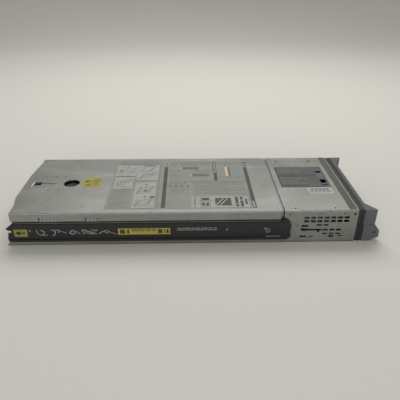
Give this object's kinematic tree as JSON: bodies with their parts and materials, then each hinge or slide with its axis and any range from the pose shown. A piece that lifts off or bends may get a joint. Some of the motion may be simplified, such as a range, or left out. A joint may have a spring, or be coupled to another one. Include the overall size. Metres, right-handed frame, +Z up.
{
  "type": "blade server",
  "caption": "Half-height blade server in a flat sheet-metal case, with a sliding cover, side guide rail, grey bezel with release lever and stacked front drives.",
  "frame": {"origin": "under the middle of the part's box, on the surface it lies on", "axes": "+X towards the front bezel, +Y away from the guide rail, +Z up through the access cover"},
  "size_m": [0.5276, 0.1836, 0.0522],
  "materials": {
    "galvanised_steel": "galvanised sheet steel with fine scratches",
    "bracket_steel": "plain sheet steel",
    "screw_steel": "zinc plated steel",
    "rail_plastic": "black moulded plastic",
    "frame_plastic": "black moulded plastic, fine texture",
    "bezel_plastic": "warm grey moulded plastic, fine texture",
    "release_plastic": "violet grey moulded plastic",
    "catch_plastic": "port red moulded plastic",
    "seal_fabric": "conductive woven fabric over foam",
    "button_plastic": "translucent white plastic",
    "lens_plastic": "clear plastic light pipe",
    "card_plastic": "pale plastic card",
    "black_plastic": "black moulded plastic",
    "socket_plastic": "dark blue moulded plastic",
    "latch_plastic": "white moulded plastic",
    "board_laminate": "green glass laminate",
    "heatsink_aluminium": "bare extruded aluminium",
    "disk_metal": "cast aluminium",
    "carrier_metal": "grey coated sheet",
    "chip_metal": "nickel plated copper",
    "standoff_brass": "turned brass",
    "contact_plastic": "beige moulded plastic",
    "choke_ferrite": "grey ferrite"
  },
  "bodies": {
    "chassis": {"base_tray": "galvanised_steel", "front_shell": "galvanised_steel", "side_clips": "bracket_steel", "emi_gasket": "seal_fabric", "side_rail": "rail_plastic", "rail_rivets": "screw_steel", "rear_bracket": "bracket_steel", "bezel_frame": "frame_plastic", "front_bezel": "bezel_plastic", "bezel_rivets": "screw_steel", "lever_pin": "screw_steel", "power_switch": "black_plastic", "light_pipes": "lens_plastic", "io_connector": "black_plastic", "tab_guide": "black_plastic", "guide_screws": "screw_steel", "drive_cage": "bracket_steel", "drive_backplane": "board_laminate", "drive_sockets": "black_plastic", "system_board": "board_laminate", "board_standoffs": "standoff_brass", "board_screws": "screw_steel", "processor_sockets": "contact_plastic", "processors": "chip_metal", "heatsink_front": "heatsink_aluminium", "heatsink_rear": "heatsink_aluminium", "heatsink_screws": "screw_steel", "memory_sockets": "socket_plastic", "memory_modules": "board_laminate", "mezzanine_sockets": "black_plastic", "mezzanine_card_near": "board_laminate", "mezzanine_card_far": "board_laminate", "mezzanine_standoffs": "standoff_brass", "signal_connectors": "contact_plastic", "power_connector": "black_plastic", "battery_holder": "black_plastic", "coin_battery": "screw_steel", "chipset_heatsink": "heatsink_aluminium", "power_chokes": "choke_ferrite"},
    "cover": {"access_cover": "galvanised_steel", "latch_bracket": "bracket_steel", "latch_rivets": "screw_steel"},
    "cover_rocker": {"cover_latch": "black_plastic"},
    "lever": {"release_lever": "bezel_plastic"},
    "release": {"release_button": "release_plastic"},
    "power": {"power_button": "button_plastic"},
    "tab": {"pull_tab": "card_plastic"},
    "drive_1": {"drive_1_carrier": "carrier_metal", "drive_1_disk": "disk_metal", "drive_1_screws": "screw_steel"},
    "drive_1_catch": {"drive_1_lever": "release_plastic"},
    "drive_1_press": {"drive_1_button": "catch_plastic"},
    "drive_2": {"drive_2_carrier": "carrier_metal", "drive_2_disk": "disk_metal", "drive_2_screws": "screw_steel"},
    "drive_2_catch": {"drive_2_lever": "release_plastic"},
    "drive_2_press": {"drive_2_button": "catch_plastic"},
    "latches_front": {"memory_latches_front": "latch_plastic"},
    "latches_rear": {"memory_latches_rear": "latch_plastic"}
  },
  "joints": [
    {"name": "cover_slide", "type": "slide", "parent": "chassis", "child": "cover", "axis": [-1, 0, 0], "range_m": [0, 0.012]},
    {"name": "latch_press", "type": "hinge", "parent": "cover", "child": "cover_rocker", "pos_m": [-0.2106, 0.00075, 0.0453], "axis": [0, 1, 0], "range_deg": [0, 2.5], "stiffness_Nm_per_rad": 0.6},
    {"name": "release_lever_swing", "type": "hinge", "parent": "chassis", "child": "lever", "pos_m": [0.2474, -0.08405, 0.014], "axis": [0, 0, -1], "range_deg": [0, 70]},
    {"name": "release_button_press", "type": "slide", "parent": "chassis", "child": "release", "axis": [-1, 0, 0], "range_m": [0, 0.002], "stiffness_N_per_m": 300},
    {"name": "power_button_press", "type": "slide", "parent": "chassis", "child": "power", "axis": [-1, 0, 0], "range_m": [0, 0.001], "stiffness_N_per_m": 400},
    {"name": "pull_tab_slide", "type": "slide", "parent": "chassis", "child": "tab", "axis": [1, 0, 0], "range_m": [0, 0.045]},
    {"name": "drive_1_slide", "type": "slide", "parent": "chassis", "child": "drive_1", "axis": [1, 0, 0], "range_m": [0, 0.12]},
    {"name": "drive_1_lever_swing", "type": "hinge", "parent": "drive_1", "child": "drive_1_catch", "pos_m": [0.24, -0.05525, 0.0133], "axis": [0, 0, -1], "range_deg": [0, 50]},
    {"name": "drive_1_button_press", "type": "slide", "parent": "drive_1", "child": "drive_1_press", "axis": [-1, 0, 0], "range_m": [0, 0.0012], "stiffness_N_per_m": 300},
    {"name": "drive_2_slide", "type": "slide", "parent": "chassis", "child": "drive_2", "axis": [1, 0, 0], "range_m": [0, 0.12]},
    {"name": "drive_2_lever_swing", "type": "hinge", "parent": "drive_2", "child": "drive_2_catch", "pos_m": [0.24, -0.05525, 0.0367], "axis": [0, 0, -1], "range_deg": [0, 50]},
    {"name": "drive_2_button_press", "type": "slide", "parent": "drive_2", "child": "drive_2_press", "axis": [-1, 0, 0], "range_m": [0, 0.0012], "stiffness_N_per_m": 300},
    {"name": "memory_latches_front_swing", "type": "hinge", "parent": "chassis", "child": "latches_front", "pos_m": [0.07798, 0.00125, 0.012], "axis": [0, 1, 0], "range_deg": [0, 30]},
    {"name": "memory_latches_rear_swing", "type": "hinge", "parent": "chassis", "child": "latches_rear", "pos_m": [-0.06538, 0.00125, 0.012], "axis": [0, -1, 0], "range_deg": [0, 30]}
  ]
}
